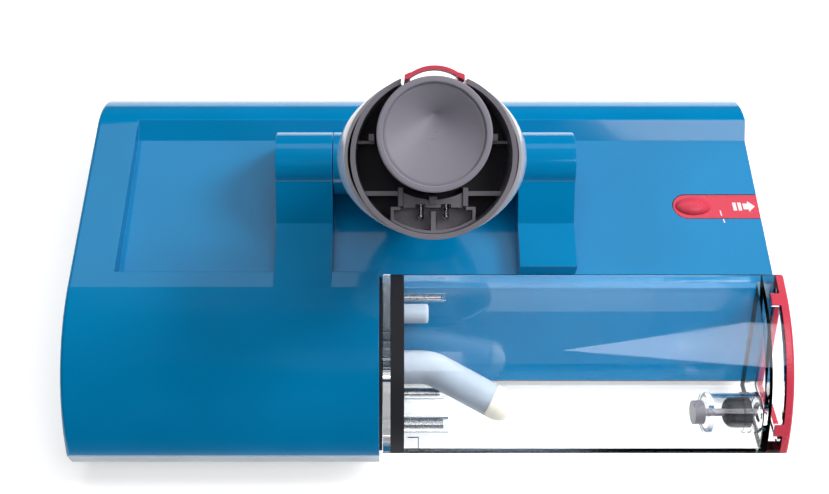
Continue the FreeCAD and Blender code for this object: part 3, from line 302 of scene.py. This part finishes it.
def clear_shadows():
    """Clear plastic lets the studio light through to what is behind it."""
    for part in frame["record"]["subparts"]:
        if part["material_slot"] == "clear_tank":
            NODES[part["node"]].visible_shadow = False


# ---- pieces that only Blender makes ----

def mesh_object(name, points, faces, material, body):
    """A new piece from plain lists, in metres, riding on a body."""
    mesh = bpy.data.meshes.new(name)
    mesh.from_pydata([tuple(point) for point in points], [], faces)
    mesh.update()
    thing = bpy.data.objects.new(name, mesh)
    bpy.context.collection.objects.link(thing)
    mesh.materials.append(material)
    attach(thing, body)
    return thing


def fibre(colour):
    """Microfibre strands: matt, with a soft sheen, and paler and darker strands."""
    name = "Microfibre" + str(round(colour[0] * 100))
    s = Surface(name, colour, 0.85, Sheen_Weight=0.6, Sheen_Roughness=0.5)
    strand = s.range(s.noise(900.0, detail=4.0), 0.3, 0.7)
    s.paint(s.mix(strand, shade(colour, 0.7), shade(colour, 1.3)))
    s.bump(s.noise(4000.0, detail=2.0), 0.4, 0.00005)
    return s.material


def tuft(place, out, lean, length, width):
    """Corners of one tuft of pile: a bent three-sided spike that stands on a place."""
    side = Vector((1, 0, 0))
    round_way = out.cross(side)
    points = []
    for step, shrink in ((0.0, 1.0), (0.55, 0.8)):
        middle = place + out * length * step + lean * step * step
        for turn in (0, 120, 240):
            angle = math.radians(turn)
            points.append(middle + (side * math.cos(angle) + round_way * math.sin(angle)) * width * shrink)
    points.append(place + out * length * 0.95 + lean)
    return points


TUFT_FACES = ((0, 1, 4, 3), (1, 2, 5, 4), (2, 0, 3, 5), (3, 4, 6), (4, 5, 6), (5, 3, 6))


def pile_rows(low, high, backing):
    """Points, faces and material numbers of rows of tufts, in stripes of two greys."""
    chance = random.Random(11)
    points, faces, kinds = [], [], []
    for row in range(TUFT_ROWS):
        x = low[0] + (row + 0.5) / TUFT_ROWS * (high[0] - low[0])
        for spot in range(TUFTS_AROUND):
            turn = (spot + 0.5 * (row % 2) + chance.uniform(-0.2, 0.2)) / TUFTS_AROUND * math.tau
            out = Vector((0, math.cos(turn), math.sin(turn)))
            centre = Vector((x + chance.uniform(-0.3, 0.3) * MM, ROLLER_AXIS.y, ROLLER_AXIS.z))
            lean = (out.cross(Vector((1, 0, 0))) * 1.1 + Vector((chance.uniform(-0.6, 0.6), 0, 0))) * MM
            start = len(points)
            points += tuft(centre + out * backing, out, lean, chance.uniform(*TUFT_LENGTHS) * MM, TUFT_WIDTH)
            faces += [tuple(start + corner for corner in face) for face in TUFT_FACES]
            stripe = (x * STRIPES_PER_METRE + turn / math.tau * 2) % 1.0 < STRIPE_SHARE
            kinds += [int(stripe)] * len(TUFT_FACES)
    return points, faces, kinds


def backing_tube(low, high, inner, outer, start):
    """Points and faces of the woven tube under the pile; start is how many points come before it."""
    sides = 64
    ring = [(math.cos(i / sides * math.tau), math.sin(i / sides * math.tau)) for i in range(sides)]
    points, faces = [], []
    for x in (low[0], high[0]):
        for radius in (inner, outer):
            points += [(x, ROLLER_AXIS.y + radius * c, ROLLER_AXIS.z + radius * d) for c, d in ring]
    loops = [start + i * sides for i in (0, 1, 3, 2)]
    for first, second in zip(loops, loops[1:]):
        for i in range(sides):
            after = (i + 1) % sides
            faces.append((first + i, first + after, second + after, second + i))
    return points, faces


def make_sleeve():
    """Microfibre sleeve of the roller: a backing tube under rows of short cut pile, in two greys."""
    low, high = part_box("roller_sleeve")
    outer = (high[2] - low[2]) / 2
    backing = outer - PILE_DEPTH
    pale, dark = fibre((0.62, 0.66, 0.72)), fibre((0.23, 0.27, 0.34))
    points, faces, kinds = pile_rows(low, high, backing)
    tube_points, tube_faces = backing_tube(low, high, outer - SLEEVE_WALL + 0.05 * MM, backing + 0.15 * MM,
                                           len(points))
    sleeve = mesh_object("microfibre_sleeve", points + tube_points, faces + tube_faces, pale, "roller")
    sleeve.data.materials.append(dark)
    sleeve.data.polygons.foreach_set("material_index", kinds + [1] * len(tube_faces))
    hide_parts("roller_sleeve")


def flat_mark(name, outline, height, material, body):
    """A printed mark: a thin flat shape with its corners in millimetres, lying at a height."""
    count = len(outline)
    points = [(x * MM, y * MM, (height + up) * MM) for up in (0, PRINT_DEPTH) for x, y in outline]
    faces = [tuple(range(count, 2 * count)), tuple(reversed(range(count)))]
    faces += [(i, (i + 1) % count, count + (i + 1) % count, count + i) for i in range(count)]
    mark = mesh_object(name, points, faces, material, body)


def print_ink(name, colour):
    """Pad-printed ink, slightly uneven."""
    s = Surface(name, colour, 0.45)
    s.paint(s.mix(s.range(s.noise(1800.0), 0.3, 0.75), shade(colour, 0.86), shade(colour, 1.05)))
    s.bump(s.noise(2500.0), 0.1, 0.00003)
    return s.material


def make_latch_marks():
    """Two bars, an arrow and a tick on the red slider, and a tick on the panel beside it."""
    ink = print_ink("PrintWhite", (0.86, 0.84, 0.86))
    low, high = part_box("roller_latch")
    y = (low[1] + high[1]) / 2 / MM
    right = high[0] / MM
    marks = {
        "latch_bar_1": ((-11.0, -2), (-9.5, -2), (-9.7, 2), (-11.2, 2)),
        "latch_bar_2": ((-8.8, -2), (-7.3, -2), (-7.5, 2), (-9.0, 2)),
        "latch_arrow": ((-6.6, -1.4), (-4.4, -1.4), (-4.4, -2.7), (-1.6, 0.1), (-4.6, 2.7), (-4.6, 1.5),
                        (-6.8, 1.5)),
        "latch_tick": ((-16.9, -4.6), (-16.4, -4.6), (-16.7, -2.0), (-17.2, -2.0)),
    }
    for name, corners in marks.items():
        flat_mark(name, [(right + dx, y + dy) for dx, dy in corners], SLIDER_TOP, ink, "latch")
    tick = ((-16.2, -8.2), (-15.7, -8.2), (-16.0, -6.3), (-16.5, -6.3))
    flat_mark("panel_tick", [(right + dx, y + dy) for dx, dy in tick], PANEL_TOP, ink, "head")


def barrel_mark(name, across, along, material):
    """A thin printed strip on the tank's round side, between two X and two Y, in millimetres."""
    steps = 6
    points, faces = [], []
    for lift in (0.0, 0.05):
        for step in range(steps + 1):
            y = along[0] + (along[1] - along[0]) * step / steps
            reach = BARREL_RADIUS + lift
            z = BARREL_Z + math.sqrt(reach ** 2 - (y - BARREL_Y) ** 2)
            points += [(across[0] * MM, y * MM, z * MM), (across[1] * MM, y * MM, z * MM)]
    layer = 2 * (steps + 1)
    for step in range(steps):
        a = 2 * step
        b = layer + a
        faces += [(b, b + 1, b + 3, b + 2), (a, a + 2, a + 3, a + 1), (b, b + 1, a + 1, a),
                  (b + 1, b + 3, a + 3, a + 1), (b + 2, b, a, a + 2)]
    mark = mesh_object(name, points, faces, material, "tank")


def make_tank_marks():
    """A plain bracket that marks the full level: one upright and two short lines."""
    ink = print_ink("PrintGrey", (0.12, 0.13, 0.15))
    barrel_mark("level_upright", (-3.5, -3.1), (-81.8, -77.6), ink)
    for i, y in enumerate((-77.8, -81.6)):
        barrel_mark("level_line_%d" % (i + 1), (-7.6, -3.5), (y - 0.2, y + 0.2), ink)


# ---- stage ----

def make_stage():
    """A plain white floor that glows a little, so that it stays white everywhere."""
    bpy.ops.mesh.primitive_plane_add(size=6.0, location=(0, 0, -0.0002))
    floor = bpy.context.object
    floor.name = "Floor"
    s = Surface("FloorWhite", (0.93, 0.93, 0.93), 0.6, Emission_Strength=0.45)
    s.set("Emission Color", (1.0, 1.0, 1.0, 1.0))
    s.bump(s.noise(60.0), 0.02, 0.0002)
    floor.data.materials.append(s.material)


def area_light(name, place, target, size, radiance, glossy=True, colour=(1, 1, 1)):
    """A rectangular softbox of an even brightness; glossy is whether it shows in reflections."""
    lamp = bpy.data.lights.new(name, "AREA")
    lamp.shape = "RECTANGLE"
    lamp.size, lamp.size_y = size
    lamp.energy = radiance * math.pi * size[0] * size[1]
    lamp.color = colour
    thing = bpy.data.objects.new(name, lamp)
    bpy.context.collection.objects.link(thing)
    thing.location = place
    thing.rotation_euler = (Vector(target) - Vector(place)).to_track_quat("-Z", "Y").to_euler()
    thing.visible_glossy = glossy


def make_lights():
    """A key from the right, soft light from above, and boxes whose reflections model the gloss."""
    head = (0, 0.02, 0.05)
    area_light("Key", (0.95, 0.3, 1.05), head, (0.5, 0.5), 20.0, glossy=False)
    area_light("Far", (0.0, 0.65, 1.3), head, (1.2, 1.0), 1.9, glossy=False)
    area_light("Top", (0.0, -0.1, 1.5), head, (1.4, 1.4), 0.8, glossy=False)
    area_light("NearFill", (0.2, -1.1, 0.6), head, (1.4, 0.6), 0.35, glossy=False)
    area_light("PanelVeil", (-0.1, 0.82, 1.28), (-0.1, 0.02, 0.05), (2.3, 0.5), 0.7)
    area_light("NeckGlow", (-0.05, -0.6, 1.15), (-0.05, 0, 0.13), (0.3, 0.3), 4.0, glossy=False)
    area_light("TankStrip", (0.55, -0.33, 1.12), (0.12, -0.05, 0.05), (0.5, 0.4), 3.6,
               colour=(0.95, 0.93, 1.0))


def make_world():
    """White low down all round and higher on the far side, and dark elsewhere."""
    world = bpy.data.worlds.new("Studio")
    world.use_nodes = True
    tree = world.node_tree
    direction = tree.nodes.new("ShaderNodeSeparateXYZ")
    tree.links.new(tree.nodes.new("ShaderNodeTexCoord").outputs["Generated"], direction.inputs[0])

    def ramp(value, dark, white):
        made = tree.nodes.new("ShaderNodeMapRange")
        made.inputs["From Min"].default_value = dark
        made.inputs["From Max"].default_value = white
        tree.links.new(value, made.inputs["Value"])
        return made

    def combine(operation, first, second):
        made = tree.nodes.new("ShaderNodeMath")
        made.operation = operation
        tree.links.new(first, made.inputs[0])
        tree.links.new(second, made.inputs[1])
        return made.outputs[0]

    up, along = direction.outputs["Z"], direction.outputs["Y"]
    far_side = combine("MULTIPLY", ramp(up, 0.5, 0.3).outputs[0], ramp(along, -0.25, 0.3).outputs[0])
    white = combine("MAXIMUM", far_side, ramp(up, 0.14, 0.05).outputs[0])
    glow = ramp(white, 0.0, 1.0)
    glow.inputs["To Min"].default_value = 0.05
    tree.links.new(glow.outputs[0], tree.nodes["Background"].inputs["Strength"])
    bpy.context.scene.world = world


def make_camera():
    """A view from behind and above, about 61 degrees down."""
    degrees_down = 60.8
    camera = bpy.data.cameras.new("Camera")
    camera.lens = 43.4
    camera.sensor_width = 36.0
    camera.shift_x = 0.0276
    thing = bpy.data.objects.new("Camera", camera)
    bpy.context.collection.objects.link(thing)
    thing.location = (-0.014, -0.2065, 0.4153)
    thing.rotation_euler = (math.radians(90 - degrees_down), 0, 0)
    bpy.context.scene.camera = thing
    bpy.context.scene.view_settings.view_transform = "Standard"


dress_frame()
clear_shadows()
make_sleeve()
make_latch_marks()
make_tank_marks()
make_camera()
make_stage()
make_lights()
make_world()
